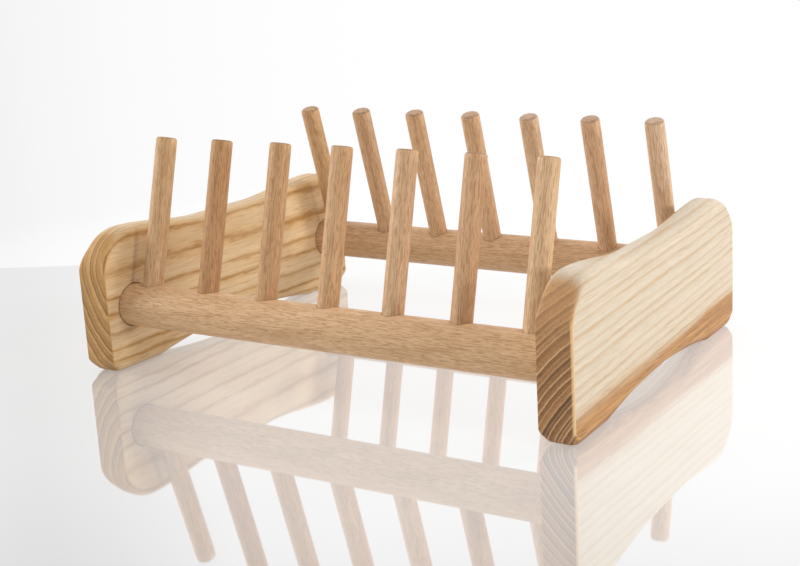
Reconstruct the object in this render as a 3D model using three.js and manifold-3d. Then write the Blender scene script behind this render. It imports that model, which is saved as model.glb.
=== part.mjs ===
// Plate rack: two waisted side boards, two round rails glued into blind sockets in the
// boards' inner faces, and a row of seven round pegs glued into blind holes along each
// rail.  The two rows lean towards each other, so a plate stands on edge between
// neighbouring pegs with its rim resting on both rails.
//
// Millimetres, +Z up.  X runs along the rails (left to right), +Y points to the rear,
// and Z = 0 is the plane of the four feet.  The origin is under the middle of the rack.

import * as THREE from 'three';
import Module from 'manifold-3d';

// ---- driving dimensions ------------------------------------------------------------
const GAP = 0.3;                // glue gap round every socketed piece

const PEG_COUNT = 7;            // pegs in a row
const PEG_PITCH = 42;           // distance between peg axes along a rail
const PEG_D = 12;
const PEG_REACH = 99.5;         // rail axis to the free end of a peg, along the peg
const PEG_LEAN = 15;            // degrees from vertical, inwards
const PEG_CHAMFER = 1;          // both ends
const HOLE_PAST_AXIS = 2.5;     // how far a peg's hole goes past the rail's axis
const DRILL_REACH = 25;         // rail axis to the drill's outer end, clear of the rail
const DRILL_CHAMFER = 0.01;     // leaves the drill's ends all but square

const RAIL_D = 25;
const RAIL_HALF_SPAN = 94.5;    // rail axis to the middle of the rack
const RAIL_HEIGHT = 38;         // rail axis above the feet
const RAIL_CHAMFER = 0.8;       // both ends
const SOCKET_DEPTH = 12;        // blind socket for a rail

const INNER_HALF = 139;         // middle of the rack to a board's inner face
const BOARD_T = 20;             // board thickness
const BOARD_HALF_DEPTH = 116;   // middle of the rack to a board's front or rear end
const TOP_DIP = 78;             // height of the board's top edge at its middle
const TOP_CREST = 84;           // height of the top edge near each end
const DIP_FLAT = 22;            // half length of the level stretch in the dip
const TOP_CORNER_R = 25.5;
const LOW_CORNER_R = 9.5;
const ARCH_HALF = 75;           // half length of the arch between the feet
const ARCH_RISE = 7.4;          // how high the arch clears the ground
const FOOT_BLEND = 7;           // length over which a foot runs into the arch
const EASE_LONG = 5.4;          // rounding of the long edges, top and bottom
const EASE_END = 1.1;           // rounding of the front and rear edges

const ROUND_STEPS = 72;         // facets round a rail or its socket
const PEG_STEPS = 48;           // facets round a peg or its hole
const EASE_STEPS = 3;           // facets across an eased edge
const OUTLINE_STEPS = {         // segments in each stretch of half a board's outline
  arch: 22, footBlend: 6, foot: 4, lowCorner: 12, end: 4, topCorner: 16, top: 26,
};

// ---- side board outline ------------------------------------------------------------
const CREST_Y = BOARD_HALF_DEPTH - TOP_CORNER_R;        // where the top corner begins
const CREST_DROP_Z = TOP_CREST - TOP_CORNER_R;          // where it meets the upright end
const FOOT_END = BOARD_HALF_DEPTH - LOW_CORNER_R;
const BLEND_START = ARCH_HALF - FOOT_BLEND;

const archHeight = (y) => ARCH_RISE * (1 - (y / ARCH_HALF) ** 2);

function topHeight(y) {
  const rise = THREE.MathUtils.smoothstep(y, DIP_FLAT, CREST_Y);
  return TOP_DIP + (TOP_CREST - TOP_DIP) * rise;
}

// A cubic that leaves the arch at its own slope (t = 0) and lands level on the foot (t = 1).
function blendHeight(t) {
  const startSlope = (-2 * ARCH_RISE * BLEND_START) / ARCH_HALF ** 2;
  return archHeight(BLEND_START) * (2 * t ** 3 - 3 * t ** 2 + 1)
    + startSlope * FOOT_BLEND * (t ** 3 - 2 * t ** 2 + t);
}

// The rear half as [y, z] points, from the arch's middle round to the dip's middle.
function halfOutline() {
  const points = [[0, ARCH_RISE]];
  // Adds a stretch whose point at each fraction t of its run is pointAt(t).
  const stretch = (steps, pointAt) => {
    for (let i = 1; i <= steps; i++) points.push(pointAt(i / steps));
  };
  const { lerp } = THREE.MathUtils;

  stretch(OUTLINE_STEPS.arch, (t) => [BLEND_START * t, archHeight(BLEND_START * t)]);
  stretch(OUTLINE_STEPS.footBlend, (t) => [BLEND_START + FOOT_BLEND * t, blendHeight(t)]);
  stretch(OUTLINE_STEPS.foot, (t) => [lerp(ARCH_HALF, FOOT_END, t), 0]);
  stretch(OUTLINE_STEPS.lowCorner, (t) => {
    const angle = (Math.PI / 2) * t;
    return [FOOT_END + LOW_CORNER_R * Math.sin(angle), LOW_CORNER_R * (1 - Math.cos(angle))];
  });
  stretch(OUTLINE_STEPS.end, (t) => [BOARD_HALF_DEPTH, lerp(LOW_CORNER_R, CREST_DROP_Z, t)]);
  stretch(OUTLINE_STEPS.topCorner, (t) => {
    const angle = (Math.PI / 2) * t;
    return [
      CREST_Y + TOP_CORNER_R * Math.cos(angle),
      CREST_DROP_Z + TOP_CORNER_R * Math.sin(angle),
    ];
  });
  stretch(OUTLINE_STEPS.top, (t) => {
    const y = CREST_Y * (1 - t);
    return [y, topHeight(y)];
  });
  return points;
}

// The whole outline, anticlockwise as seen from +X.
function boardOutline() {
  const rear = halfOutline();
  const front = rear.slice(1, -1).reverse().map(([y, z]) => [-y, z]);
  return rear.concat(front);
}

function outwardNormals(points) {
  const count = points.length;
  return points.map((_, i) => {
    const [y0, z0] = points[(i + count - 1) % count];
    const [y1, z1] = points[(i + 1) % count];
    const length = Math.hypot(y1 - y0, z1 - z0);
    return [(z1 - z0) / length, -(y1 - y0) / length];
  });
}

// ---- side board solid --------------------------------------------------------------
// Rings of [depth, y, z] from the inner face to the outer face, where depth is the
// distance from the inner face.  Rounding is fullest where the outline faces up or down.
function boardRings() {
  const outline = boardOutline();
  const normals = outwardNormals(outline);
  const eases = normals.map(([, nz]) => EASE_END + (EASE_LONG - EASE_END) * nz * nz);

  const innerRings = [];
  for (let k = 0; k <= EASE_STEPS; k++) {
    const angle = (Math.PI / 2) * (k / EASE_STEPS);
    innerRings.push(outline.map(([y, z], i) => {
      const [ny, nz] = normals[i];
      const inset = eases[i] * (1 - Math.sin(angle));
      return [eases[i] * (1 - Math.cos(angle)), y - ny * inset, z - nz * inset];
    }));
  }
  const outerRings = [...innerRings].reverse()
    .map((ring) => ring.map(([depth, y, z]) => [BOARD_T - depth, y, z]));
  return innerRings.concat(outerRings);
}

// A socket's rim at the given depth, clockwise as seen from +X.
function socketRing(row, depth) {
  const radius = RAIL_D / 2 + GAP;
  return Array.from({ length: ROUND_STEPS }, (_, i) => {
    const angle = (-2 * Math.PI * i) / ROUND_STEPS;
    return [
      depth,
      row * RAIL_HALF_SPAN + radius * Math.cos(angle),
      RAIL_HEIGHT + radius * Math.sin(angle),
    ];
  });
}

function indexedGeometry(positions, triangles) {
  const geometry = new THREE.BufferGeometry();
  geometry.setAttribute('position', new THREE.Float32BufferAttribute(positions, 3));
  geometry.setIndex(new THREE.Uint32BufferAttribute(triangles, 1));
  geometry.computeVertexNormals();
  return geometry;
}

// side is -1 for the left board and +1 for the right one.
function sideBoard(side) {
  const positions = [];
  const triangles = [];
  const addPoint = ([depth, y, z]) => {
    positions.push(side * (INNER_HALF + depth), y, z);
    return positions.length / 3 - 1;
  };
  const addRing = (ring) => ring.map(addPoint);
  // Corners are anticlockwise as seen from the outer side of the right board; the left
  // board is its mirror image, so its triangles are turned over.
  const addTriangle = (a, b, c) => {
    if (side > 0) triangles.push(a, b, c);
    else triangles.push(a, c, b);
  };
  const addBand = (near, far) => {
    for (let i = 0; i < near.length; i++) {
      const j = (i + 1) % near.length;
      addTriangle(near[i], near[j], far[j]);
      addTriangle(near[i], far[j], far[i]);
    }
  };
  const flat = (ring) => ring.map(([, y, z]) => new THREE.Vector2(y, z));

  // eased edges and the band between them
  const rings = boardRings();
  const ringIds = rings.map(addRing);
  for (let k = 0; k + 1 < ringIds.length; k++) addBand(ringIds[k], ringIds[k + 1]);

  // outer face
  const outerIds = ringIds.at(-1);
  for (const [a, b, c] of THREE.ShapeUtils.triangulateShape(flat(rings.at(-1)), [])) {
    addTriangle(outerIds[a], outerIds[b], outerIds[c]);
  }

  // inner face, open at the two sockets
  const mouths = [-1, 1].map((row) => socketRing(row, 0));
  const mouthIds = mouths.map(addRing);
  const innerIds = ringIds[0].concat(...mouthIds);
  const innerFaces = THREE.ShapeUtils.triangulateShape(flat(rings[0]), mouths.map(flat));
  for (const [a, b, c] of innerFaces) addTriangle(innerIds[a], innerIds[c], innerIds[b]);

  // socket walls and floors
  [-1, 1].forEach((row, socket) => {
    const floorIds = addRing(socketRing(row, SOCKET_DEPTH));
    const centreId = addPoint([SOCKET_DEPTH, row * RAIL_HALF_SPAN, RAIL_HEIGHT]);
    addBand(mouthIds[socket], floorIds);
    for (let i = 0; i < ROUND_STEPS; i++) {
      addTriangle(floorIds[i], floorIds[(i + 1) % ROUND_STEPS], centreId);
    }
  });
  return indexedGeometry(positions, triangles);
}

// ---- dowels ------------------------------------------------------------------------
// A dowel about the Y axis from bottom to top, with a chamfer at each end.
function dowel({ radius, bottom, top, chamfer, steps }) {
  const profile = [               // [radius, y]
    [0, bottom],
    [radius - chamfer, bottom],
    [radius, bottom + chamfer],
    [radius, top - chamfer],
    [radius - chamfer, top],
    [0, top],
  ].map(([r, y]) => new THREE.Vector2(r, y));
  return new THREE.LatheGeometry(profile, steps);
}

// A peg's frame: its origin is on the rail axis and its +Y points to the peg's free end.
function pegMatrix(row, i) {
  const lean = THREE.MathUtils.degToRad(PEG_LEAN);
  const direction = new THREE.Vector3(0, -row * Math.sin(lean), Math.cos(lean));
  const turn = new THREE.Quaternion()
    .setFromUnitVectors(new THREE.Vector3(0, 1, 0), direction);
  const foot = new THREE.Vector3(
    (i - (PEG_COUNT - 1) / 2) * PEG_PITCH, row * RAIL_HALF_SPAN, RAIL_HEIGHT);
  return new THREE.Matrix4().compose(foot, turn, new THREE.Vector3(1, 1, 1));
}

function peg() {
  return dowel({
    radius: PEG_D / 2,
    bottom: GAP - HOLE_PAST_AXIS,
    top: PEG_REACH,
    chamfer: PEG_CHAMFER,
    steps: PEG_STEPS,
  });
}

const manifold = await Module();
manifold.setup();

// A closed solid from a dowel, moved by the matrix.
function toManifold(geometry, matrix) {
  const moved = geometry.clone().applyMatrix4(matrix);
  const source = moved.getAttribute('position');
  // LatheGeometry repeats its seam and poles, so vertices at one place are joined
  const idByPlace = new Map();
  const positions = [];
  const joinedIds = [];
  for (let i = 0; i < source.count; i++) {
    const point = [source.getX(i), source.getY(i), source.getZ(i)];
    const place = point.map((v) => Math.round(v * 1e4)).join();
    if (!idByPlace.has(place)) {
      idByPlace.set(place, positions.length / 3);
      positions.push(...point);
    }
    joinedIds.push(idByPlace.get(place));
  }
  const triangles = [];
  const index = moved.getIndex();
  for (let i = 0; i < index.count; i += 3) {
    const [a, b, c] = [0, 1, 2].map((k) => joinedIds[index.getX(i + k)]);
    if (a !== b && b !== c && c !== a) triangles.push(a, b, c);
  }
  return new manifold.Manifold(new manifold.Mesh({
    numProp: 3,
    vertProperties: new Float32Array(positions),
    triVerts: new Uint32Array(triangles),
  }));
}

// row is -1 for the front rail and +1 for the rear one.
function rail(row) {
  const halfLength = INNER_HALF + SOCKET_DEPTH - GAP;
  const bar = dowel({
    radius: RAIL_D / 2,
    bottom: -halfLength,
    top: halfLength,
    chamfer: RAIL_CHAMFER,
    steps: ROUND_STEPS,
  });
  const drill = dowel({
    radius: PEG_D / 2 + GAP,
    bottom: -HOLE_PAST_AXIS,
    top: DRILL_REACH,
    chamfer: DRILL_CHAMFER,
    steps: PEG_STEPS,
  });
  const alongX = new THREE.Matrix4().makeRotationZ(-Math.PI / 2)
    .setPosition(0, row * RAIL_HALF_SPAN, RAIL_HEIGHT);
  let solid = toManifold(bar, alongX);
  for (let i = 0; i < PEG_COUNT; i++) {
    solid = solid.subtract(toManifold(drill, pegMatrix(row, i)));
  }
  const { vertProperties, triVerts } = solid.getMesh();
  return indexedGeometry(vertProperties, triVerts);
}

// ---- assembly ----------------------------------------------------------------------
const BOARD_ASH = { color: 0xe6cba0, roughness: 0.5, metalness: 0 };
const RAIL_BEECH = { color: 0xc99e72, roughness: 0.55, metalness: 0 };
const PEG_BEECH = { color: 0xcca177, roughness: 0.55, metalness: 0 };

const rack = new THREE.Group();
rack.name = 'plate_rack';

function add(name, geometry, wood) {
  const mesh = new THREE.Mesh(geometry, new THREE.MeshStandardMaterial(wood));
  mesh.name = name;
  rack.add(mesh);
  return mesh;
}

const ROWS = [[-1, 'front'], [1, 'rear']];

add('left_side_board', sideBoard(-1), BOARD_ASH);
add('right_side_board', sideBoard(1), BOARD_ASH);
for (const [row, label] of ROWS) add(`${label}_rail`, rail(row), RAIL_BEECH);

for (const [row, label] of ROWS) {
  for (let i = 0; i < PEG_COUNT; i++) {
    const mesh = add(`${label}_peg_${i + 1}`, peg(), PEG_BEECH);
    pegMatrix(row, i).decompose(mesh.position, mesh.quaternion, mesh.scale);
  }
}

export default rack;
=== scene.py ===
# Wooden plate rack: two waisted ash side boards, two beech rails, fourteen beech pegs.
# It stands on z = 0.  The boards lie at +x (right) and -x (left) with their length and
# grain along Y, the rails run along X, and the front is -y.
# The frame gives every position and size.  Each of its eighteen nodes is replaced by a
# finer mesh of the same size in the same place, with a procedural wood material.
# Board materials work in millimetres in the frame, dowel materials in millimetres in the
# dowel's own frame, grain along local Z.

import math
from types import SimpleNamespace as Look
import bpy
import numpy as np
from mathutils import Matrix, Vector, noise
from mathutils.geometry import delaunay_2d_cdt


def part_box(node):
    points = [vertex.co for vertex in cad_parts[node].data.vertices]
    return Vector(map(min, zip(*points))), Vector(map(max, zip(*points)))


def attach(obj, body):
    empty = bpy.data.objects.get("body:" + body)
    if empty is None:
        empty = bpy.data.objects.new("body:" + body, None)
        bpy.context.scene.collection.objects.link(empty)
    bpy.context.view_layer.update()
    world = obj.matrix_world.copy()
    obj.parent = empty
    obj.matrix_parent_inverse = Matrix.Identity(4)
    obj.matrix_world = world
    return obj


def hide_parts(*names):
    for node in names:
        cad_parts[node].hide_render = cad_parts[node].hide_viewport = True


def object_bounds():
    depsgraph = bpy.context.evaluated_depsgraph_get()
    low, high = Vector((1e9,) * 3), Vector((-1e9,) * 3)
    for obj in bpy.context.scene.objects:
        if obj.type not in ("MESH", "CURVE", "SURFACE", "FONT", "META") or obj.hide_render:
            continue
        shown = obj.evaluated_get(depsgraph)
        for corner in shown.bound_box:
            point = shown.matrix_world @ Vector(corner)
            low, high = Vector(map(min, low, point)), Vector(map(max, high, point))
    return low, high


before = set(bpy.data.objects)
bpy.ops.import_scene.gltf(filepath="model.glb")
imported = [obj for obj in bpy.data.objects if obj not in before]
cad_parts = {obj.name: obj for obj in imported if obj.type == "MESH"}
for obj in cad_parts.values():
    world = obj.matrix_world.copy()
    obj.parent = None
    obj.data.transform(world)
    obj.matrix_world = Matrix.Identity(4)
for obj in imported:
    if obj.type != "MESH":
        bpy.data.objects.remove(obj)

CAD_LO, CAD_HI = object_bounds()
MM = 0.001

# visible joints, millimetres
PEG_SEAM = 0.24  # round every peg, and behind every rail end
SOCKET_SEAM = 0.55  # round every rail where it enters a board


# ---------------------------------------------------------------------------
# reading the frame
# ---------------------------------------------------------------------------
def box_mm(name):
    return [np.array(corner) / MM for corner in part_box(name)]


def dowel_axis(name):
    """Foot (metres), unit direction, length and radius (millimetres) of a dowel node."""
    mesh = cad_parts[name].data
    points = np.zeros(len(mesh.vertices) * 3)
    mesh.vertices.foreach_get("co", points)
    points = points.reshape(-1, 3)
    centre = (points.min(0) + points.max(0)) / 2
    axis = np.linalg.eigh(np.cov((points - centre).T))[1][:, -1]
    # pegs point up, rails point to +x
    axis = axis * np.sign(axis[2 if abs(axis[2]) > 0.5 else 0])
    along = (points - centre) @ axis
    radius = np.linalg.norm((points - centre) - np.outer(along, axis), axis=1).max()
    foot = Vector(centre + axis * along.min())
    return foot, Vector(axis), float(along.max() - along.min()) / MM, float(radius) / MM


# ---------------------------------------------------------------------------
# mesh helpers
# ---------------------------------------------------------------------------
def shade(mesh, sharp_deg):
    mesh.shade_smooth()
    mesh.set_sharp_from_angle(angle=math.radians(sharp_deg))


def link_object(name, data):
    ob = bpy.data.objects.new(name, data)
    bpy.context.scene.collection.objects.link(ob)
    return ob


def new_object(name, verts, faces, sharp_deg):
    mesh = bpy.data.meshes.new(name)
    mesh.from_pydata([tuple(v) for v in verts], [], [tuple(f) for f in faces])
    mesh.validate()
    shade(mesh, sharp_deg)
    return link_object(name, mesh)


def wobble(seed, x, y=0.0, z=0.0):
    """Smooth noise about -1..1, the same every run."""
    return noise.noise(Vector((x + 17.3 * seed, y - 5.1 * seed, z + 3.7 * seed)))


# ---------------------------------------------------------------------------
# side boards, millimetres
# ---------------------------------------------------------------------------
TOP_DIP, TOP_CREST = 78.0, 84.0  # heights of the top edge at its middle and its crests
DIP_FLAT = 22.0  # half length of the flat bottom of the dip
TOP_CORNER_R, LOW_CORNER_R = 25.5, 9.5
ARCH_HALF, ARCH_RISE = 75.0, 7.4  # low arch between the feet
FOOT_BLEND = 7.0  # length over which the arch runs out into a foot
# size of the rounding along the long edges and at the upright ends of the inner face
EASE_LONG, EASE_END = 5.4, 1.1
EASE_CROWN = 9.5  # depth across the thickness of the outer top edge's wider rounding
# upright arrises of the outer faces by side: the right one is worn rounder
OUTER_END = {1: 2.3, -1: 0.9}
BOARD_SHARP_DEG = 38
# outline segments: half arch, foot, low corner, upright end, top corner, half top
ARCH_N, FOOT_N, LOW_N, END_N, CORNER_N, TOP_N = 60, 20, 16, 30, 36, 70
EASE_N = 8  # segments across a rounding
SUPPORT_INSET = 0.7  # loop just inside the rounding, keeps the flat face's shading flat
GRID_PITCH, GRID_LOW = 5.0, 4.0  # loose points on the flat faces
GRID_END, GRID_EDGE, GRID_CORNER, GRID_BORE = 6, 2.2, 7, 1.6  # and their clearances
MOUTH_N = 128  # segments round a socket
MOUTH_LIP, SOCKET_CUT = 0.35, 0.6  # support ring inside the mouth, chamfer at the bottom


def top_edge(y, crest_y):
    u = min(1.0, max(0.0, (abs(y) - DIP_FLAT) / (crest_y - DIP_FLAT)))
    return TOP_DIP + (TOP_CREST - TOP_DIP) * u * u * (3 - 2 * u)


def low_edge(y):
    """A parabola that meets the foot with a cubic blend."""
    a = abs(y)
    start = ARCH_HALF - FOOT_BLEND
    if a >= ARCH_HALF:
        return 0.0
    if a <= start:
        return ARCH_RISE * (1 - (a / ARCH_HALF) ** 2)
    t = (a - start) / FOOT_BLEND
    height = ARCH_RISE * (1 - (start / ARCH_HALF) ** 2)
    slope = -2 * ARCH_RISE * start / ARCH_HALF ** 2 * FOOT_BLEND
    return height * (2 * t ** 3 - 3 * t ** 2 + 1) + slope * (t ** 3 - 2 * t ** 2 + t)


def board_outline(half_depth):
    """Closed (y, z) outline, anticlockwise seen from +x, from the arch's middle."""
    crest_y = half_depth - TOP_CORNER_R
    foot_y = half_depth - LOW_CORNER_R
    side_top = TOP_CREST - TOP_CORNER_R
    half = [(ARCH_HALF * i / ARCH_N, low_edge(ARCH_HALF * i / ARCH_N))
            for i in range(ARCH_N + 1)]
    half += [(ARCH_HALF + (foot_y - ARCH_HALF) * i / FOOT_N, 0.0)
             for i in range(1, FOOT_N + 1)]
    for i in range(1, LOW_N + 1):
        a = math.pi / 2 * i / LOW_N
        half.append((foot_y + LOW_CORNER_R * math.sin(a), LOW_CORNER_R * (1 - math.cos(a))))
    half += [(half_depth, LOW_CORNER_R + (side_top - LOW_CORNER_R) * i / END_N)
             for i in range(1, END_N + 1)]
    for i in range(1, CORNER_N + 1):
        a = math.pi / 2 * i / CORNER_N
        half.append((crest_y + TOP_CORNER_R * math.cos(a),
                     side_top + TOP_CORNER_R * math.sin(a)))
    for i in range(1, TOP_N + 1):
        y = crest_y * (1 - i / TOP_N)
        half.append((y, top_edge(y, crest_y)))
    return np.array(half + [(-y, z) for y, z in reversed(half[1:-1])])


def outline_normals(outline):
    tangent = np.roll(outline, -1, 0) - np.roll(outline, 1, 0)
    tangent /= np.linalg.norm(tangent, axis=1)[:, None]
    return np.stack([tangent[:, 1], -tangent[:, 0]], 1)


def hand_sanded(outline, seed, period):
    """Factors that let the rounding breathe a little along the edge."""
    return np.array([1 + 0.10 * wobble(seed, y / period, z / period) for y, z in outline])


def rounding(outline, normals, ease, spread=1.0):
    """(depth, yz) rings of a rounding, from the flat face to the full outline."""
    for i in range(EASE_N + 1):
        a = math.pi / 2 * i / EASE_N
        inset = ease * (1 - math.sin(a))
        yield ease * (1 - math.cos(a)) * spread, outline - normals * inset[:, None]


class BoardMesh:
    """Vertices as (depth from the inner face, y, z); faces wound for the right board."""

    def __init__(self, inner, side):
        self.inner, self.side = inner, side
        self.verts, self.faces = [], []

    def put(self, depth, y, z):
        self.verts.append((self.side * (self.inner + depth) * MM, y * MM, z * MM))
        return len(self.verts) - 1

    def face(self, *ids):
        self.faces.append(ids if self.side > 0 else tuple(reversed(ids)))

    def bridge(self, first, second):
        n = len(first)
        for i in range(n):
            j = (i + 1) % n
            self.face(first[i], first[j], second[j], second[i])


def socket_bores(inner):
    """(y, z, radius, reach) of both sockets, read from the rails."""
    bores = []
    for rail in ("front_rail", "rear_rail"):
        lo, hi = box_mm(rail)
        reach = max(abs(lo[0]), abs(hi[0])) - inner + PEG_SEAM
        bores.append(((lo[1] + hi[1]) / 2, (lo[2] + hi[2]) / 2,
                      (hi[2] - lo[2]) / 2 + SOCKET_SEAM, reach))
    return bores


def circle(y, z, radius):
    angles = [2 * math.pi * i / MOUTH_N for i in range(MOUTH_N)]
    return [(y + radius * math.cos(a), z + radius * math.sin(a)) for a in angles]


def loop_edges(start, count):
    return [(start + i, start + (i + 1) % count) for i in range(count)]


def inside(point, loop):
    """Even-odd test of a point against a closed loop."""
    x, y = point
    a, b = loop, np.roll(loop, -1, 0)
    cross = ((a[:, 1] > y) != (b[:, 1] > y)) & (
        x < (b[:, 0] - a[:, 0]) * (y - a[:, 1]) / (b[:, 1] - a[:, 1] + 1e-30) + a[:, 0])
    return bool(cross.sum() % 2)


def loose_grid(half_depth, top, ease, bores):
    """Grid points on a flat face, clear of its edges, corners and sockets."""
    crest_y = half_depth - TOP_CORNER_R
    side_top = TOP_CREST - TOP_CORNER_R
    points = []
    for y in np.arange(-half_depth + GRID_END, half_depth - 5.9, GRID_PITCH):
        for z in np.arange(GRID_LOW, top, GRID_PITCH):
            if z < low_edge(y) + ease + GRID_EDGE or z > top_edge(y, crest_y) - ease - GRID_EDGE:
                continue
            if (abs(y) > crest_y and z > side_top
                    and math.hypot(abs(y) - crest_y, z - side_top) > TOP_CORNER_R - GRID_CORNER):
                continue
            if abs(y) > half_depth - GRID_END:
                continue
            if any(math.hypot(y - by, z - bz) < radius + GRID_BORE
                   for by, bz, radius, _ in bores):
                continue
            points.append(Vector((y, z)))
    return points


def cap(board, ring, ring_ids, normals, outward, bores, grid):
    """Fills a flat face inside its ring; returns the vertex ids of each socket mouth."""
    depth, edge = ring[0, 0], ring[:, 1:]
    n = len(edge)
    points = [Vector(p) for p in edge] + [Vector(p) for p in edge - normals * SUPPORT_INSET]
    edges = loop_edges(0, n) + loop_edges(n, n)
    starts = []
    for y, z, radius, _ in bores:
        starts.append(len(points))
        edges += loop_edges(len(points), MOUTH_N)
        points += [Vector(p) for p in circle(y, z, radius)]
    holes = [np.array([tuple(p) for p in points[s:s + MOUTH_N]]) for s in starts]
    points += grid
    known = list(ring_ids) + [None] * (len(points) - n)  # board vertex of each point

    corners, _, triangles, sources, _, _ = delaunay_2d_cdt(points, edges, [], 0, 1e-6)
    index = []
    for corner, source in zip(corners, sources):
        if source and known[source[0]] is not None:
            index.append(known[source[0]])
            continue
        index.append(board.put(depth, corner[0], corner[1]))
        if source:
            known[source[0]] = index[-1]

    for triangle in triangles:
        centre = np.mean([np.array(corners[i]) for i in triangle], 0)
        if not inside(centre, edge) or any(inside(centre, hole) for hole in holes):
            continue
        a, b, c = (np.array(corners[i]) for i in triangle[:3])
        anticlockwise = (b[0] - a[0]) * (c[1] - a[1]) - (b[1] - a[1]) * (c[0] - a[0]) > 0
        ids = [index[i] for i in triangle]
        if anticlockwise != outward:
            ids.reverse()
        board.face(*ids)
    return [known[s:s + MOUTH_N] for s in starts]


def line_socket(board, bore, mouth):
    """Wall, chamfer and flat bottom of a blind socket."""
    y, z, radius, reach = bore
    previous = mouth
    for depth, r in ((MOUTH_LIP, radius), (reach - SOCKET_CUT, radius),
                     (reach, radius - SOCKET_CUT)):
        current = [board.put(depth, *p) for p in circle(y, z, r)]
        board.bridge(previous, current)
        previous = current
    middle = board.put(reach, y, z)
    for i in range(MOUTH_N):
        board.face(previous[i], previous[(i + 1) % MOUTH_N], middle)


def build_board(name, side, seed):
    lo, hi = box_mm(name)
    thick = hi[0] - lo[0]
    inner = min(abs(lo[0]), abs(hi[0]))
    half_depth = (hi[1] - lo[1]) / 2
    outline = board_outline(half_depth)
    outline[:, 1] *= (hi[2] - lo[2]) / TOP_CREST
    normals = outline_normals(outline)

    # 0 on the upright ends, 1 on the long edges
    level = np.clip((np.abs(normals[:, 1]) - 0.08) / 0.66, 0.0, 1.0)
    level = level * level * (3 - 2 * level)
    inner_ease = EASE_END + (EASE_LONG - EASE_END) * level
    outer_ease = OUTER_END[side] + (EASE_LONG - OUTER_END[side]) * level
    # the outer top edge is sanded to a wider, flatter curve than the others
    spread = 1 + (EASE_CROWN / EASE_LONG - 1) * level * np.clip(normals[:, 1] * 1.6, 0.0, 1.0)
    inner_sanded = inner_ease * hand_sanded(outline, seed, period=31.0)
    outer_sanded = outer_ease * hand_sanded(outline, seed + 3, period=27.0)

    # rings from the inner face to the outer face
    rings = [np.column_stack([np.broadcast_to(depth, len(yz)), yz])
             for depth, yz in rounding(outline, normals, inner_sanded)]
    outer = [np.column_stack([thick - depth, yz])
             for depth, yz in rounding(outline, normals, outer_sanded, spread)]
    rings += reversed(outer)
    board = BoardMesh(inner, side)
    ids = [[board.put(*p) for p in ring] for ring in rings]
    for first, second in zip(ids, ids[1:]):
        board.bridge(first, second)

    bores = socket_bores(inner)
    extent = (half_depth, outline[:, 1].max(), outer_ease.max())
    cap(board, rings[-1], ids[-1], normals, True, [], loose_grid(*extent, []))
    mouths = cap(board, rings[0], ids[0], normals, False, bores, loose_grid(*extent, bores))
    for bore, mouth in zip(bores, mouths):
        line_socket(board, bore, mouth)
    return new_object(name.replace("_side_board", "_board"), board.verts, board.faces,
                      BOARD_SHARP_DEG)


# ---------------------------------------------------------------------------
# dowels, millimetres
# ---------------------------------------------------------------------------
PEG_TOP_CHAMFER = {"front": 0.85, "rear": 1.25}
DOWEL_CHAMFER = 0.8  # both ends of a rail, foot of a peg
SIDE_MARGIN = 3.0  # plain side starts and stops this far from the ends
PEG_STATIONS, RAIL_STATIONS = 34, 110
PEG_STEPS, RAIL_STEPS = 96, 144
WORN_TOP = 2.5  # length of a peg's hand-sanded top
HOLE_TOP = 30.0  # how far a peg hole's cutter reaches above the peg's foot
DOWEL_SHARP_DEG, BORED_SHARP_DEG = 60, 40
PEGS_PER_RAIL = 7


def revolve(profile, steps, shape=lambda r, z, a: (r, z)):
    """Closed body about local Z; profile is (radius, z) from bottom to top centre."""
    verts, faces, rows = [], [], []
    for r, z in profile:
        if r < 1e-9:
            ring = [(0.0, 0.0, z * MM)]
        else:
            ring = []
            for i in range(steps):
                a = 2 * math.pi * i / steps
                rr, zz = shape(r, z, a)
                ring.append((rr * math.cos(a) * MM, rr * math.sin(a) * MM, zz * MM))
        rows.append(range(len(verts), len(verts) + len(ring)))
        verts += ring
    for low, high in zip(rows, rows[1:]):
        for i in range(steps):
            j = (i + 1) % steps
            if len(low) == 1:
                faces.append((low[0], high[j], high[i]))
            elif len(high) == 1:
                faces.append((low[i], low[j], high[0]))
            else:
                faces.append((low[i], low[j], high[j], high[i]))
    return verts, faces


def chamfer_profile(r, z, cut, up):
    """A worn 45 degree chamfer with small rounds, from the side to the flat end."""
    s = 1 if up else -1
    f = 0.34 * cut  # size of the small rounds
    stations = (0.0, 0.35, 0.7, 1.0)
    side = [(r - 0.5 * f * t * t, z - s * (cut + f * (1 - t)) + s * 0.5 * f * t * t)
            for t in stations]
    end = [(r - cut + 0.5 * f * (1 - t) ** 2 - f * t, z - s * 0.5 * f * (1 - t) ** 2)
           for t in stations]
    return side + end


def dowel_profile(r, length, top_chamfer, stations):
    """(radius, z) from the bottom centre to the rim of the top face."""
    low = sorted(chamfer_profile(r, 0.0, DOWEL_CHAMFER, False), key=lambda p: (p[1], p[0]))
    side = [(r, z) for z in np.linspace(SIDE_MARGIN, length - SIDE_MARGIN, stations)]
    return [(0.0, 0.0)] + low + side + chamfer_profile(r, length, top_chamfer, True)


def aim(foot, direction):
    """Matrix that puts local Z along the direction, with its origin at the foot."""
    z = direction.normalized()
    x = Vector((1, 0, 0)) if abs(z.x) < 0.5 else Vector((0, 1, 0))
    x = (x - z * x.dot(z)).normalized()
    matrix = Matrix((x, z.cross(x), z)).transposed().to_4x4()
    matrix.translation = foot
    return matrix


def placed_dowel(name, place, body):
    verts, faces = body
    return new_object(name, [place @ Vector(v) for v in verts], faces, DOWEL_SHARP_DEG)


def dent(seed, a, frequency, z=0.0):
    """Noise about 0..1 round a dowel."""
    return 0.5 + 0.5 * wobble(seed, math.cos(a) * frequency, math.sin(a) * frequency, z)


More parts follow.
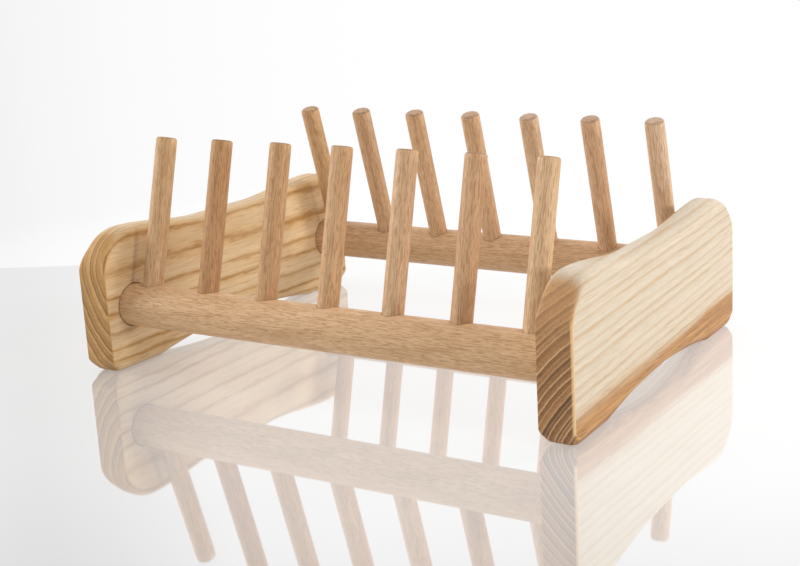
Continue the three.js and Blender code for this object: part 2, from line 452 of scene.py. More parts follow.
def build_peg(name, seed):
    foot, direction, length, r = dowel_axis(name)
    chamfer = PEG_TOP_CHAMFER[name.split("_")[0]] * (1 + 0.18 * wobble(seed, 0.37))
    profile = dowel_profile(r, length, chamfer, PEG_STATIONS)
    profile += [(r * 0.45, length), (0.0, length)]

    def shape(rr, z, a):
        # a few hundredths out of round, with a top sanded by hand
        k = 1 - 0.006 * dent(seed, a, 0.9, z / 26.0)
        if z <= length - WORN_TOP:
            return rr * k, z
        worn = min(1.0, z - (length - WORN_TOP))
        k -= 0.010 * worn * dent(seed + 9, a, 1.6)
        return rr * k, z - 0.16 * worn * dent(seed + 5, a, 1.2) * (rr / r) ** 2

    place = aim(foot, direction)
    name = name.replace("_peg_", "_peg_dowel_")
    return placed_dowel(name, place, revolve(profile, PEG_STEPS, shape)), place


def peg_hole_cutter(peg):
    foot, direction, _, radius = dowel_axis(peg)
    r = radius + PEG_SEAM
    bottom = -PEG_SEAM * 1.5
    profile = [(0, bottom), (r - 0.5, bottom), (r, 0.4), (r, HOLE_TOP), (0, HOLE_TOP)]
    return placed_dowel("cut", aim(foot, direction), revolve(profile, PEG_STEPS))


def carve(ob, cutters):
    """Cuts the cutters out of the object for good and removes them."""
    bpy.context.view_layer.update()
    for cutter in cutters:
        boolean = ob.modifiers.new("hole", "BOOLEAN")
        boolean.operation = "DIFFERENCE"
        boolean.solver = "EXACT"
        boolean.object = cutter
    depsgraph = bpy.context.evaluated_depsgraph_get()
    mesh = bpy.data.meshes.new_from_object(ob.evaluated_get(depsgraph))
    ob.modifiers.clear()
    uncut = ob.data
    ob.data = mesh
    bpy.data.meshes.remove(uncut)
    mesh.name = ob.name
    shade(mesh, BORED_SHARP_DEG)
    for cutter in cutters:
        cutter_mesh = cutter.data
        bpy.data.objects.remove(cutter)
        bpy.data.meshes.remove(cutter_mesh)


def build_rail(name, pegs, seed):
    foot, direction, length, r = dowel_axis(name)
    profile = dowel_profile(r, length, DOWEL_CHAMFER, RAIL_STATIONS) + [(0.0, length)]

    def shape(rr, z, a):
        return rr * (1 - 0.003 * dent(seed, a, 0.8, z / 60.0)), z

    place = aim(foot, direction)
    ob = placed_dowel(name + "_dowel", place, revolve(profile, RAIL_STEPS, shape))
    carve(ob, [peg_hole_cutter(peg) for peg in pegs])
    return ob, place


# ---------------------------------------------------------------------------
# shader trees
# ---------------------------------------------------------------------------
def operator(operation):
    """An operator and its reflected form, as Math nodes."""
    return (lambda a, b: a.tree.math(operation, a, b),
            lambda a, b: a.tree.math(operation, b, a))


class Value:
    """An output socket; arithmetic on it adds Math nodes to its tree."""

    __add__, __radd__ = operator("ADD")
    __sub__, __rsub__ = operator("SUBTRACT")
    __mul__, __rmul__ = operator("MULTIPLY")
    __truediv__ = operator("DIVIDE")[0]
    __pow__ = operator("POWER")[0]
    max = operator("MAXIMUM")[0]
    min = operator("MINIMUM")[0]

    def __init__(self, tree, socket):
        self.tree, self.socket = tree, socket

    def __abs__(self):
        return self.tree.math("ABSOLUTE", self)

    def output(self, key):
        """Another output of the same node."""
        return Value(self.tree, self.socket.node.outputs[key])

    def affine(self, gain, offset, clamp=False):
        return self.tree.math("MULTIPLY_ADD", self, gain, offset, clamp=clamp)

    def step(self, start, end, low=0.0, high=1.0):
        """Smooth step from low at start to high at end."""
        inputs = {"Value": self, "From Min": start, "From Max": end,
                  "To Min": low, "To Max": high}
        return self.tree.add("MapRange", inputs, out=0, interpolation_type="SMOOTHSTEP")


class Tree:
    """Builds the node tree of a material or world."""

    def __init__(self, owner):
        owner.use_nodes = True
        self.owner, self.tree = owner, owner.node_tree
        self.tree.nodes.clear()

    def node(self, kind, inputs=(), **props):
        """A node with its inputs linked or set; None leaves an input alone."""
        node = self.tree.nodes.new("ShaderNode" + kind)
        for key, value in props.items():
            setattr(node, key, value)
        for key, value in inputs.items() if isinstance(inputs, dict) else enumerate(inputs):
            if isinstance(value, Value):
                self.tree.links.new(value.socket, node.inputs[key])
            elif value is not None:
                node.inputs[key].default_value = value
        return node

    def add(self, kind, inputs=(), out=0, **props):
        return Value(self, self.node(kind, inputs, **props).outputs[out])

    def math(self, operation, *inputs, clamp=False):
        return self.add("Math", inputs, operation=operation, use_clamp=clamp)

    def dot(self, a, b):
        return self.add("VectorMath", (a, b), out="Value", operation="DOT_PRODUCT")

    def scaled(self, vector, scale):
        return self.add("VectorMath", {0: vector, "Scale": scale}, operation="SCALE")

    def xyz(self, vector):
        x = self.add("SeparateXYZ", (vector,))
        return x, x.output(1), x.output(2)

    def join(self, x, y, z):
        return self.add("CombineXYZ", (x, y, z))

    def noise(self, vector, detail=2.0, rough=0.5):
        inputs = {"Vector": vector, "Scale": 1.0, "Detail": detail, "Roughness": rough}
        return self.add("TexNoise", inputs, out="Fac")

    def swing(self, vector, detail=2.0, rough=0.5):
        """Noise recentred to about -1..1."""
        return self.noise(vector, detail, rough).affine(gain=4.0, offset=-2.0)

    def cells(self, vector):
        return self.add("TexVoronoi", {"Vector": vector, "Scale": 1.0}, out="Distance")

    def ramp(self, value, stops):
        """Linear ramp of grey levels; stops are (position, level), at most 32."""
        result = self.add("ValToRGB", (value,))
        ramp = result.socket.node.color_ramp
        ramp.interpolation = "LINEAR"
        stops = sorted(stops)
        while len(ramp.elements) > 1:
            ramp.elements.remove(ramp.elements[-1])
        ramp.elements[0].position = stops[0][0]
        ramp.elements[0].color = (stops[0][1],) * 3 + (1,)
        for position, level in stops[1:]:
            ramp.elements.new(position).color = (level, level, level, 1)
        return result

    def mix(self, factor, a, b, mode="MIX"):
        a, b = (c if isinstance(c, Value) else (*c, 1.0) for c in (a, b))
        return self.add("Mix", {0: factor, 6: a, 7: b}, out=2, data_type="RGBA",
                        blend_type=mode)

    def brighten(self, colour, factor):
        return self.mix(1.0, colour, self.join(factor, factor, factor), "MULTIPLY")

    def coordinates(self, place=None):
        """Position in millimetres and normal, in the frame or in a dowel's own frame."""
        position = self.add("TexCoord", out="Object")
        normal = position.output("Normal")
        position = self.scaled(position, 1 / MM)
        if place is not None:
            axes = [tuple(place.to_3x3().col[k]) for k in range(3)]
            position = self.add("VectorMath", (position, tuple(place.translation / MM)),
                                operation="SUBTRACT")
            position = self.join(*[self.dot(position, axis) for axis in axes])
            normal = self.join(*[self.dot(normal, axis) for axis in axes])
        return position, normal

    def wood(self, colour, rough, height, relief_mm):
        """Principled surface with a bump from the height; returns the material."""
        bump = self.add("Bump", {"Strength": 0.35, "Distance": relief_mm * MM,
                                 "Height": height})
        surface = self.add("BsdfPrincipled", {
            "Base Color": colour, "Roughness": rough, "IOR": 1.46,
            "Specular IOR Level": 0.22, "Normal": bump})
        self.node("OutputMaterial", (surface,))
        return self.owner


def srgb(*levels):
    """An sRGB colour of 0..255 as linear."""
    return tuple((c / 255) / 12.92 if c <= 0.04045 * 255 else ((c / 255 + 0.055) / 1.055) ** 2.4
                 for c in levels)


# ---------------------------------------------------------------------------
# ash: growth rings are shells about a pith line that runs roughly along Y
# ---------------------------------------------------------------------------
# pith: (x, z) of the pith line at y = 0, mm; drift: its rise per mm of y;
# squeeze: scale of z in the ring distance; wave, ripple: slow and fine bends, mm
# rings, minor: radii of the early-wood rows and the fainter ones, mm
# levels, minor_levels: strengths of the rows, repeated in turn
# core, shoulder, minor_width: reach of a row towards and away from the pith, mm
# *_mix, pore, late, speck: strength of a colour; streak, broad, fibre: brightness swing
# heart: radius of the heartwood's edge, mm; tones: brightness between the rings
# end_*: end grain; rows_top: strength of its rows at the top; rim: rounded arrises, their own
# golden tone brightened as a painted highlight
ASH_RIGHT = Look(
    pith=(240.0, -45.0), drift=10.0 / 232.0, squeeze=1.0, wave=0.6, ripple=0.24,
    rings=[97.0, 100.2, 103.6, 107.1, 110.6, 114.4, 120.2, 123.8, 127.9, 132.9, 138.2,
           142.4, 147.5, 152.6, 158.0],
    minor=[98.6, 105.4, 112.4, 117.4, 125.8, 130.2, 135.6, 140.2, 145.0, 150.1, 155.2],
    levels=(0.9, 0.6, 1.0, 0.75, 0.85, 0.65, 0.95),
    minor_levels=(0.8, 1.0, 0.5, 0.8, 0.3, 0.5, 0.2),
    core=(1.0, 0.7), core_mix=0.34, shoulder=(2.8, 1.3), shoulder_mix=0.58,
    minor_width=(0.8, 0.7), minor_mix=0.26,
    cream=srgb(209, 194, 172), tan=srgb(192, 163, 123), dark=srgb(180, 140, 93),
    streak=0.036, broad=0.02, fibre=0.070, pore=0.42, pore_colour=srgb(180, 143, 102),
    heart=102.3, heart_mix=0.96, heart_a=srgb(196, 147, 90), heart_b=srgb(160, 107, 53),
    heart_dark=srgb(120, 76, 38),
    end_width=0.52, end_line=srgb(240, 200, 154), end_line_mix=0.92, rows_top=0.7,
    late=0.75, end_top=srgb(186, 146, 104), end_top_mix=0.5,
    end_light=srgb(186, 137, 92), end_dark=srgb(119, 79, 46),
    # rim: the arrises' own golden tone, partly a painted highlight
    rim=srgb(240, 203, 154), rim_mix=0.76,
    tones=(0.62, 0.68, 0.76, 0.84, 0.86, 0.56, 1.00, 0.92, 0.84, 0.98, 1.08, 1.15, 1.22,
           1.26, 1.30, 1.30),
    speck=0.60, speck_colour=srgb(92, 60, 34))
ASH_LEFT = Look(
    pith=(-126.0, 69.0), drift=-5.0 / 232.0, squeeze=0.58, wave=0.7, ripple=0.36,
    rings=[9.0, 14.1, 19.7, 24.3, 30.4, 35.6, 39.2, 44.0, 49.0],
    minor=[11.4, 17.0, 22.2, 27.6, 33.2, 37.5, 41.5, 46.6, 51.0],
    levels=(1.0, 0.9, 0.8, 0.95, 0.85), minor_levels=(0.8, 0.5, 1.0),
    core=(0.6, 0.7), core_mix=0.70, shoulder=(1.4, 2.7), shoulder_mix=0.80,
    minor_width=(0.5, 0.6), minor_mix=0.45,
    cream=srgb(214, 186, 147), tan=srgb(195, 149, 84), dark=srgb(146, 96, 40),
    streak=0.045, broad=0.03, fibre=0.085, pore=0.60, pore_colour=srgb(150, 101, 50),
    heart=None,
    end_width=0.58, end_line=srgb(116, 75, 36), end_line_mix=0.96, rows_top=1.0,
    late=0.85, end_top=srgb(196, 150, 92), end_top_mix=0.2,
    end_light=srgb(209, 166, 110), end_dark=srgb(163, 118, 67),
    rim=srgb(208, 161, 98), rim_mix=0.45,
    tones=(0.93, 1.0, 1.08, 0.95, 1.07, 0.93, 1.05, 0.96, 1.06, 1.0),
    speck=0.45, speck_colour=srgb(118, 80, 38))


class Rings:
    """Patterns over the distance from the pith."""

    MARGIN = 8.0  # millimetres of ramp inside the first ring and outside the last
    PER_RAMP = 10  # three stops each

    def __init__(self, tree, radius, radii):
        self.tree, self.radii = tree, radii
        self.lo, self.hi = radii[0] - self.MARGIN, radii[-1] + self.MARGIN
        self.unit = (radius - self.lo) / (self.hi - self.lo)

    def at(self, r):
        return min(1.0, max(0.0, (r - self.lo) / (self.hi - self.lo)))

    def lines(self, radii, levels, before, after):
        """A peak at each radius, fading to nothing on both sides."""
        total = None
        for start in range(0, len(radii), self.PER_RAMP):
            part = radii[start:start + self.PER_RAMP]
            gaps = [99.0] + [b - a for a, b in zip(part, part[1:])] + [99.0]
            stops = [(0.0, 0.0)]
            for k, r in enumerate(part):
                stops += [(self.at(r - min(before, gaps[k] * 0.48)), 0.0),
                          (self.at(r), levels[(start + k) % len(levels)]),
                          (self.at(r + min(after, gaps[k + 1] * 0.48)), 0.0)]
            ramp = self.tree.ramp(self.unit, stops)
            total = ramp if total is None else total.max(ramp)
        return total

    def jumps(self, first, pairs, half_width):
        """Jumps at each ring between a (before, after) pair of levels."""
        stops = [(0.0, first)]
        for r, (before, after) in zip(self.radii, pairs):
            stops += [(max(0.001, self.at(r) - half_width), before),
                      (self.at(r) + half_width, after)]
        return self.tree.ramp(self.unit, stops)


def ash_heart(g, look, side, y, radius, streak, broad, dash, core):
    """Tan heartwood inside one ring: its edge is sharp at the rear, soft at the front."""
    half = y.step(start=-60.0, end=80.0, low=3.6, high=1.2)
    edge = y.step(start=-80.0, end=40.0, low=look.heart + 2.0, high=look.heart)
    wavy = radius + streak * 0.9
    heart = wavy.step(start=edge + half, end=edge - half)
    tone = (streak + broad * 0.8).affine(gain=0.55, offset=0.42, clamp=True)
    wood = g.mix(tone, look.heart_a, look.heart_b)
    wood = g.mix(dash * 0.6, wood, look.heart_dark)
    wood = g.mix(core * 0.6, wood, look.heart_dark)
    return g.mix(heart * look.heart_mix, side, wood)


def ash_end(g, look, rings, position, z, stretched):
    """End grain: the same shells cut across, with open pores.  Colour, pores, rows."""
    speck = g.cells(stretched(across=1.5, along=0.25))
    speck = speck.step(start=0.16, end=0.46, low=1.0, high=0.0)
    patch = g.swing(g.scaled(position, scale=0.13), rough=0.6)
    grit = g.swing(g.scaled(position, scale=0.9), rough=0.7)
    late = rings.jumps(0.3, [(1.0, 0.0)] * len(look.rings), half_width=0.002)
    fill = rings.jumps(look.tones[0], zip(look.tones, look.tones[1:]), half_width=0.004)
    end = g.mix(late * look.late, look.end_light, look.end_dark)
    end = g.brighten(end, fill)
    end = g.brighten(end, 1.0 + (patch * 0.09 + grit * 0.07))
    end = g.mix(speck * look.speck, end, look.speck_colour)

    width, faint_width = look.end_width, look.end_width * 0.8
    line = rings.lines(look.rings, look.levels, width, width)
    faint = rings.lines(look.minor, look.minor_levels, faint_width, faint_width)
    rows = line.max(faint * 0.7)
    rows = rows * grit.affine(gain=0.22, offset=0.9, clamp=True)
    rows = rows * z.step(start=45.0, end=76.0, low=1.0, high=look.rows_top)
    end = g.mix(rows * look.end_line_mix, end, look.end_line)
    end = g.mix(z.step(start=38.0, end=76.0, low=0.0, high=look.end_top_mix), end,
                look.end_top)
    return end, speck, rows


def ash_material(name, look):
    g = Tree(bpy.data.materials.new(name))
    position, normal = g.coordinates()
    x, y, z = g.xyz(position)
    nx, ny, nz = g.xyz(normal)

    def stretched(across, along, offset=0.0):
        """Position with its own frequency across and along the grain."""
        yy = y * along
        if offset:
            yy = yy + offset
        return g.join(x * across, yy, z * across)

    # ring distance, with slow waves along the grain and finer ones across it
    warp = (g.swing(stretched(across=0.014, along=0.0085), detail=1.0) * look.wave
            + g.swing(stretched(across=0.10, along=0.030)) * look.ripple
            + g.swing(stretched(across=0.35, along=0.12), detail=1.0) * (look.ripple * 0.6))
    dx = x - look.pith[0]
    dz = (z - look.pith[1] - y * look.drift) * look.squeeze
    radius = g.math("SQRT", dx * dx + dz * dz) + warp
    rings = Rings(g, radius, look.rings)

    # strength of the rows comes and goes along the board
    fade = g.swing(stretched(across=0.12, along=0.020, offset=7.0))
    fade = fade.affine(gain=0.34, offset=0.84, clamp=True)
    core = rings.lines(look.rings, look.levels, *look.core) * fade
    shoulder = rings.lines(look.rings, look.levels, *look.shoulder) * fade
    faint = rings.lines(look.minor, look.minor_levels, *look.minor_width) * fade

    # long fine streaks and short dashes along the grain
    streak = g.swing(stretched(across=0.95, along=0.016), rough=0.6)
    broad = g.swing(stretched(across=0.30, along=0.008))
    fibre = g.swing(stretched(across=1.5, along=0.075, offset=3.0), detail=1.5, rough=0.6)
    dash = g.noise(stretched(across=1.35, along=0.070), detail=1.5, rough=0.55)
    dash = dash.step(start=0.55, end=0.68)

    side = g.mix(shoulder * look.shoulder_mix, look.cream, look.tan)
    side = g.mix(faint * look.minor_mix, side, look.tan)
    side = g.mix(core * look.core_mix, side, look.dark)
    tone = streak * look.streak + broad * look.broad + fibre * look.fibre
    side = g.brighten(side, 1.0 + tone)
    pore = dash * shoulder.max(faint).affine(gain=0.75, offset=0.25)
    side = g.mix(pore * look.pore, side, look.pore_colour)
    if look.heart:
        side = ash_heart(g, look, side, y, radius, streak, broad, dash, core)
    end, speck, rows = ash_end(g, look, rings, position, z, stretched)

    # end grain where the surface faces along Y; on the arrises that lean to +x, their golden
    # tone brightened as a painted highlight
    slope = abs(ny)
    cut = slope.step(start=0.22, end=0.62)
    rim = slope.step(start=0.09, end=0.32) * slope.step(start=0.97, end=0.72)
    rim = rim * (nx.step(start=0.15, end=0.45) * abs(nz).step(start=0.50, end=0.04))
    colour = g.mix(cut, side, end)
    colour = g.mix(rim * look.rim_mix, colour, look.rim)
    rough = streak.affine(gain=0.05, offset=0.32) + cut * 0.08
    height = (1.0 - cut) * (pore * -0.7 + fibre * 0.3) + cut * (speck * -0.8 + rows * 0.3)
    return g.wood(colour, rough, height, relief_mm=0.10)


# ---------------------------------------------------------------------------
# beech: faint rings, many short dark ray flecks along the grain
# ---------------------------------------------------------------------------
# ring: ring spacing, mm; ring_mix, flame, fleck, light_fleck: strength of a colour;
# streak: brightness swing; every tuple is a colour
BEECH = Look(
    light=srgb(221, 182, 141), dark=srgb(205, 162, 120),
    ring=3.4, ring_mix=0.38, ring_colour=srgb(184, 138, 98),
    streak=0.030, flame=0.12, fleck=0.54, fleck_colour=srgb(158, 110, 70),
    light_fleck=0.18, light_colour=srgb(240, 208, 170),
    end=srgb(192, 153, 117), end_dark=srgb(132, 100, 74))


def toned(factors):
    """The same beech with red, green and blue of every colour multiplied by factors."""
    return Look(**{key: tuple(c * f for c, f in zip(value, factors))
                   if isinstance(value, tuple) else value
                   for key, value in vars(BEECH).items()})


def beech_material(name, seed, look, place):
    g = Tree(bpy.data.materials.new(name))
    random = np.random.default_rng(seed)
    offset = random.uniform(-200, 200, 3)
    pith_angle = random.uniform(0, 2 * math.pi)
    pith_distance = random.uniform(18, 60)
    tilt = random.uniform(-0.05, 0.05, 2)
    position, normal = g.coordinates(place)
    x, y, z = g.xyz(position)
    facing = g.xyz(normal)[2]
    shifted = g.add("VectorMath", (position, tuple(offset)), operation="ADD")
    sx, sy, sz = g.xyz(shifted)

    # growth rings about a pith line outside the dowel, a little off its axis
    wave = g.swing(g.join(sx * 0.05, sy * 0.05, sz * 0.012))
    dx = x - pith_distance * math.cos(pith_angle) - z * tilt[0]
    dy = y - pith_distance * math.sin(pith_angle) - z * tilt[1]
    radius = g.math("SQRT", dx * dx + dy * dy) + wave * 1.1
    saw = g.math("FRACT", radius / look.ring)
    ring = saw ** 3.0 * saw.step(start=0.93, end=1.0, low=1.0, high=0.0)

    def stretched(across, along, turn=0.0):
        # the grain wanders a little off the dowel's axis
        zz = sz * along
        wandering = sx + z * (tilt[0] * 0.5)
        return g.join(wandering.affine(across, turn), sy * across, zz)

    def marks(across, along, turn, start, end, detail=0.0):
        return g.noise(stretched(across, along, turn), detail).step(start, end)

    broad = g.swing(stretched(across=0.16, along=0.010))
    streak = g.swing(stretched(across=1.7, along=0.034), rough=0.6)
    long_line = marks(across=1.7, along=0.044, turn=11.0, start=0.61, end=0.68)
    fleck_a = marks(across=1.9, along=0.150, turn=5.0, start=0.60, end=0.66)
    fleck_b = marks(across=2.5, along=0.250, turn=2.0, start=0.59, end=0.65)
    light = marks(across=2.0, along=0.110, turn=23.0, start=0.59, end=0.67)
    fleck = g.math("MAXIMUM", fleck_a * 1.0, fleck_b * 0.7, clamp=True)
    fleck = fleck.max(long_line * 0.7)
    flame = marks(across=0.15, along=0.013, turn=31.0, start=0.50, end=0.60, detail=1.0)

    colour = g.mix(broad.affine(gain=0.34, offset=0.5, clamp=True), look.light, look.dark)
    colour = g.mix(ring * look.ring_mix, colour, look.ring_colour)
    colour = g.mix(flame * look.flame, colour, look.ring_colour)
    colour = g.brighten(colour, streak.affine(gain=look.streak, offset=1.0))
    colour = g.mix(light * look.light_fleck, colour, look.light_colour)
    colour = g.mix(fleck * look.fleck, colour, look.fleck_colour)

    # end grain: darker and greyer, concentric arcs and tiny pores
    cut = abs(facing).step(start=0.30, end=0.62)
    pores = g.cells(g.scaled(shifted, scale=1.5))
    pores = pores.step(start=0.18, end=0.50, low=1.0, high=0.0)
    patch = g.swing(g.scaled(shifted, scale=0.35))
    end = g.mix(ring * 0.6, look.end, look.end_dark)
    end = g.brighten(end, patch.affine(gain=0.16, offset=1.0))
    end = g.mix(pores * 0.40, end, look.end_dark)
    rim = cut * abs(facing).step(start=0.98, end=0.80)
    end = g.mix(rim * 0.22, end, look.end_dark)
    colour = g.mix(cut, colour, end)

    rough = streak.affine(gain=0.04, offset=0.36) + fleck * 0.06
    height = fleck * -0.7 + streak * 0.3 - pores * cut * 0.8
    return g.wood(colour, rough, height, relief_mm=0.08)


# ---------------------------------------------------------------------------
# build
# ---------------------------------------------------------------------------
# red, green and blue factors on the beech colours; pegs 1 to 7 of each row
RAIL_TONES = {"front": (1.06, 1.10, 1.12), "rear": (0.99, 1.03, 1.06)}
PEG_TONES = {
    "front": ((1.00, 1.04, 1.04), (0.84, 0.77, 0.69), (0.94, 0.92, 0.88),
              (0.99, 0.99, 0.98), (1.07, 1.13, 1.23), (0.98, 0.97, 1.00),
              (1.10, 1.19, 1.27)),
    "rear": ((0.96, 0.97, 0.92), (0.95, 0.98, 1.03), (1.00, 1.03, 1.07),
             (1.04, 1.09, 1.17), (1.06, 1.17, 1.36), (1.02, 1.05, 1.15),
             (1.09, 1.22, 1.46)),
}
# per row: seed of the rail's shape, of its material, and of the first peg
SEEDS = {"front": (11, 40, 100), "rear": (12, 41, 200)}


def dress(ob, material, node):
    ob.data.materials.clear()
    ob.data.materials.append(material)
    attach(ob, "root")
    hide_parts(node)


for label, side, seed, look in (("right", 1, 1, ASH_RIGHT), ("left", -1, 2, ASH_LEFT)):
    node = label + "_side_board"
    ob = build_board(node, side, seed)
    dress(ob, ash_material("ash_" + label, look), node)

for row, (shape_seed, wood_seed, _) in SEEDS.items():
    rail = row + "_rail"
    pegs = ["%s_peg_%d" % (row, i + 1) for i in range(PEGS_PER_RAIL)]
    ob, place = build_rail(rail, pegs, shape_seed)
    material = beech_material("beech_" + rail, wood_seed, toned(RAIL_TONES[row]), place)
    dress(ob, material, rail)

for row, tones in PEG_TONES.items():
    for i, factors in enumerate(tones):
        node = "%s_peg_%d" % (row, i + 1)
        seed = SEEDS[row][2] + i
        ob, place = build_peg(node, seed)
        dress(ob, beech_material("beech_" + node, seed, toned(factors), place), node)


# ---------------------------------------------------------------------------
# stage: pale glossy floor that glows with painted light, soft white surroundings, softboxes;
# metres
# ---------------------------------------------------------------------------
YAW, PITCH, ROLL = 0.488384, 0.218193, -0.034173  # camera angles, radians
AHEAD = (-math.sin(YAW), math.cos(YAW), 0.0)  # level viewing direction
ASIDE = (math.cos(YAW), math.sin(YAW), 0.0)  # to the right of it
MIDDLE = (CAD_LO + CAD_HI) / 2
KEY_AT, FILL_AT = (1.28, -0.16, 0.28), (-0.9, -0.45, 0.30)  # from the rack's middle

# (bearing from the viewing direction in radians, brightness): painted light of the near floor,
# and
# far floor with the surroundings
NEAR = [(-1.3, 1.0), (-0.60, 0.95), (-0.41, 0.775), (-0.387, 0.775), (-0.364, 0.795),
        (-0.344, 0.812), (-0.25, 0.92), (-0.10, 0.945), (0.03, 0.947), (0.179, 0.975)]
FAR = [(-1.3, 1.0), (-0.60, 0.96), (-0.42, 0.885), (-0.387, 0.896), (-0.364, 0.922),
       (-0.344, 0.931), (-0.309, 0.956), (-0.251, 0.973), (-0.177, 0.99), (-0.10, 1.0)]
BEARING_SHIFT, BEARING_SPAN = 1.3, 1.6  # bring bearings into a ramp's 0..1


def ramp_bearing(g, aside, ahead):
    return (g.math("ARCTAN2", aside, ahead) + BEARING_SHIFT) / BEARING_SPAN


def bearing_ramp(g, bearing, table):
    return g.ramp(bearing, [((a + BEARING_SHIFT) / BEARING_SPAN, v) for a, v in table])


# brightness of the floor's glow: painted light, with its falloff and shade painted in by bearing
# and distance
def painted_floor_light(g, fx, fy):
    across = fx * math.cos(YAW) + fy * math.sin(YAW)
    depth = fy * math.cos(YAW) - fx * math.sin(YAW)
    # bearings are taken from a point close to below the camera
    bearing = ramp_bearing(g, across - 0.068, depth + 0.7536)
    near = bearing_ramp(g, bearing, NEAR)
    far = bearing_ramp(g, bearing, FAR)
    # painted shade: the near floor's glow darkens towards the camera
    toward = ((-0.10 - depth) / 0.188).max(0.0).min(1.12)
    near = near * (toward * toward).affine(gain=-0.105, offset=1.0)
    past = depth.step(start=0.243, end=0.249)
    level = near * (1.0 - past) + far * past
    front = depth.step(start=-0.32, end=-0.46)
    return level * (1.0 - front) + front * 0.97


def floor_material():
    g = Tree(bpy.data.materials.new("floor_gloss"))
    fx, fy, _ = g.xyz(g.add("TexCoord", out="Object"))
    level = painted_floor_light(g, fx, fy)
    diffuse = g.add("BsdfDiffuse", {"Color": (0.8, 0.8, 0.8, 1)})
    # dimmer where other things reflect it
    dim = g.add("LightPath", out="Is Glossy Ray").affine(gain=-0.65, offset=1.0)
    # the glow is painted light: it stands in for the light that falls on the floor
    glow = g.add("Emission", {"Color": (1, 1, 1, 1),
                              "Strength": dim * ((level - 0.577) / 0.350)})
    gloss = g.add("BsdfGlossy", {"Color": (1, 1, 1, 1), "Roughness": 0.03})
    matt = g.add("MixShader", {"Fac": 0.7, 1: diffuse, 2: glow})
    glossy = g.add("MixShader", {"Fac": 0.50, 1: matt, 2: gloss})
    # away from the rack the floor only glows
    away = g.math("SQRT", fx * fx + fy * fy)
    plain = g.add("Emission", {"Color": (1, 1, 1, 1), "Strength": level * dim})
    top = g.add("MixShader", (away.step(start=0.42, end=0.62), glossy, plain))
    # the floor has one side only: nothing hides the rack from underneath
    backfacing = g.add("NewGeometry", out="Backfacing")
    shader = g.add("MixShader", (backfacing, top, g.add("BsdfTransparent")))
    g.node("OutputMaterial", (shader,))
    return g.owner


def build_floor():
    mesh = bpy.data.meshes.new("floor")
    mesh.from_pydata([(-4, -3, 0), (4, -3, 0), (4, 4, 0), (-4, 4, 0)], [], [(0, 1, 2, 3)])
    floor = link_object("floor", mesh)
    floor.data.materials.append(floor_material())


# strength of the diffuse light from each direction
LOBES = {"right": 0.0, "left": 1.6, "back": 0.3, "front": 0.05, "up": 0.95, "down": 0.0}
BACKDROP = 0.4  # extra diffuse light from a patch behind the rack
BACKDROP_AT = (-0.47, 0.88, 0.18)


def diffuse_light(w, direction, axes):
    """Six broad lobes, one per direction, and the backdrop."""
    wx, wy, wz = axes
    total = None
    for label, component, sign in (("right", wx, 1), ("left", wx, -1), ("back", wy, 1),
                                   ("front", wy, -1), ("up", wz, 1), ("down", wz, -1)):
        lobe = (component * sign).max(0.0)
        lobe = lobe * lobe * LOBES[label]
        lobe.socket.node.name = "lobe_" + label
        total = lobe if total is None else total + lobe
    sheet = w.dot(direction, tuple(Vector(BACKDROP_AT).normalized()))
    sheet = sheet.step(start=0.68, end=0.88, low=0.0, high=BACKDROP)
    sheet.socket.node.name = "lobe_backdrop"
    return total + sheet


def mirror_light(w, direction, wx, wz):
    """What reflections see: white all round, a little dimmer towards the camera."""
    mirror = w.dot(direction, AHEAD).step(start=-0.90, end=-0.10, low=0.92, high=0.95)
    mirror = mirror.max(wz.step(start=0.15, end=0.9, low=0.0, high=0.95))
    mirror = mirror.max(wx.step(start=0.40, end=0.95, low=0.0, high=0.8))
    mirror = mirror.max(wx.step(start=-0.40, end=-0.95, low=0.0, high=0.8))
    # soft-edged glows where key and fill stand: no hard rectangle shows in the floor
    for glow in (KEY_AT, FILL_AT):
        glow = w.dot(direction, tuple(Vector(glow).normalized()))
        mirror = mirror + glow.step(start=0.86, end=0.98, low=0.0, high=2.5)
    return mirror


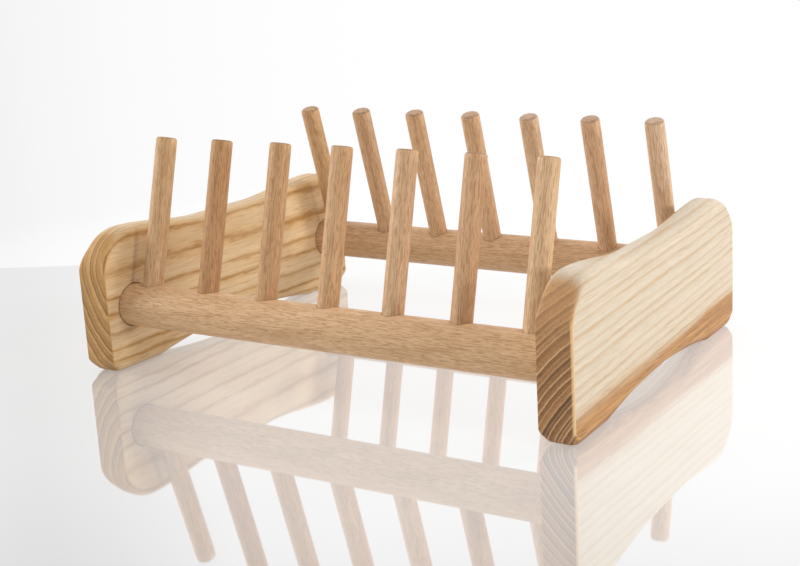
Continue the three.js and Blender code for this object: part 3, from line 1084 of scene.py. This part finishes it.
def build_world():
    world = bpy.data.worlds.new("studio")
    bpy.context.scene.world = world
    w = Tree(world)
    direction = w.add("TexCoord", out="Generated")
    axes = w.xyz(direction)
    total = diffuse_light(w, direction, axes)
    mirror = mirror_light(w, direction, axes[0], axes[2])
    # seen directly: white, with painted shade a little grey towards the left
    ahead = w.dot(direction, AHEAD)
    seen = bearing_ramp(w, ramp_bearing(w, w.dot(direction, ASIDE), ahead), FAR)
    camera_ray = w.add("LightPath", out="Is Camera Ray")
    glossy_ray = camera_ray.output("Is Glossy Ray")
    level = total * (1.0 - glossy_ray) + mirror * glossy_ray
    level = level * (1.0 - camera_ray) + seen * camera_ray
    background = w.add("Background", ((1, 1, 1, 1), level))
    w.node("OutputWorld", (background,))


# name, place from the rack's middle, (width, height), power in watts
SOFTBOXES = (
    ("key_right", KEY_AT, (0.26, 0.26), 6.0),
    ("fill_left", FILL_AT, (0.4, 0.5), 3.8),
    ("back_right", (0.9, 0.9, 0.45), (0.36, 0.36), 9.0),
    ("back_left", (-0.9, 0.9, 0.45), (0.5, 0.5), 2.1),
    ("top", (0.1, -0.1, 1.2), (0.6, 0.6), 1.6),
)


def build_softbox(name, offset, size, power):
    light = bpy.data.lights.new(name, "AREA")
    light.shape = "RECTANGLE"
    light.size, light.size_y = size
    light.energy = power
    ob = link_object(name, light)
    where = MIDDLE + Vector(offset)
    ob.location = where
    ob.visible_camera = False
    ob.visible_glossy = False
    ob.rotation_mode = "QUATERNION"
    ob.rotation_quaternion = (MIDDLE - where).to_track_quat("-Z", "Y")


def build_camera():
    data = bpy.data.cameras.new("camera")
    camera = link_object("camera", data)
    forward = Vector((-math.sin(YAW) * math.cos(PITCH), math.cos(YAW) * math.cos(PITCH),
                      -math.sin(PITCH)))
    level_right = Vector(ASIDE)
    level_up = level_right.cross(forward)
    right = math.cos(ROLL) * level_right + math.sin(ROLL) * level_up
    up = -math.sin(ROLL) * level_right + math.cos(ROLL) * level_up
    matrix = Matrix((right, up, -forward)).transposed().to_4x4()
    matrix.translation = Vector((MIDDLE.x + 0.413676, MIDDLE.y - 0.633663,
                                 CAD_LO.z + 0.236551))
    camera.matrix_world = matrix
    data.sensor_fit = "HORIZONTAL"
    data.sensor_width = 36.0
    data.lens = 57.8772
    data.shift_x, data.shift_y = -0.1625, -0.0639375
    data.clip_start, data.clip_end = 0.01, 50.0
    bpy.context.scene.camera = camera


build_floor()
build_world()
for softbox in SOFTBOXES:
    build_softbox(*softbox)
build_camera()

view = bpy.context.scene.view_settings
view.view_transform = "Standard"
view.look = "None"
view.exposure = 0.0
view.gamma = 1.0
